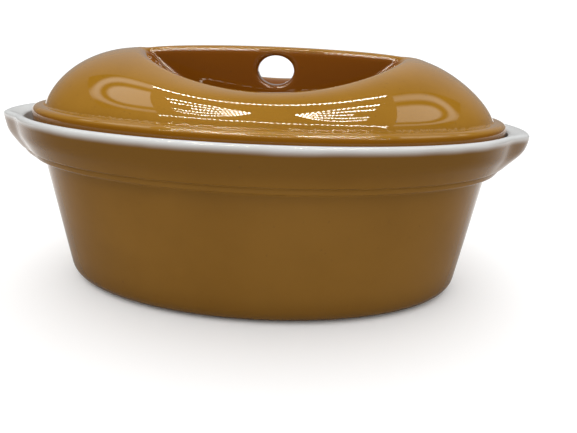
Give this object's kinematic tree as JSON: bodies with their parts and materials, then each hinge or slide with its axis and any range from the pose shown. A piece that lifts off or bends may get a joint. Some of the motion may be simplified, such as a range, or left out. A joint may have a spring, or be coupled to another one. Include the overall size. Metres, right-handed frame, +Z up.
{
  "type": "covered casserole dish",
  "caption": "Oval glazed stoneware casserole with end lugs and a lift-off domed lid whose central web has an oval finger hole.",
  "frame": {"origin": "centre of the dish's foot, on the plane it stands on", "axes": "+X along the oval's length, from lug to lug; +Y across its width; +Z up, the way the lid lifts"},
  "size_m": [0.3422, 0.2092, 0.1588],
  "materials": {
    "dish_glaze": "glossy mustard brown glaze outside, white glaze inside and over the rim, bare clay foot ring",
    "lid_glaze": "very glossy amber mustard glaze on top, white glaze underneath"
  },
  "bodies": {
    "dish": {"dish": "dish_glaze"},
    "lid": {"lid": "lid_glaze"}
  },
  "joints": [
    {"name": "lid_lift", "type": "slide", "parent": "dish", "child": "lid", "axis": [0, 0, 1], "range_m": [0, 0.12]}
  ]
}
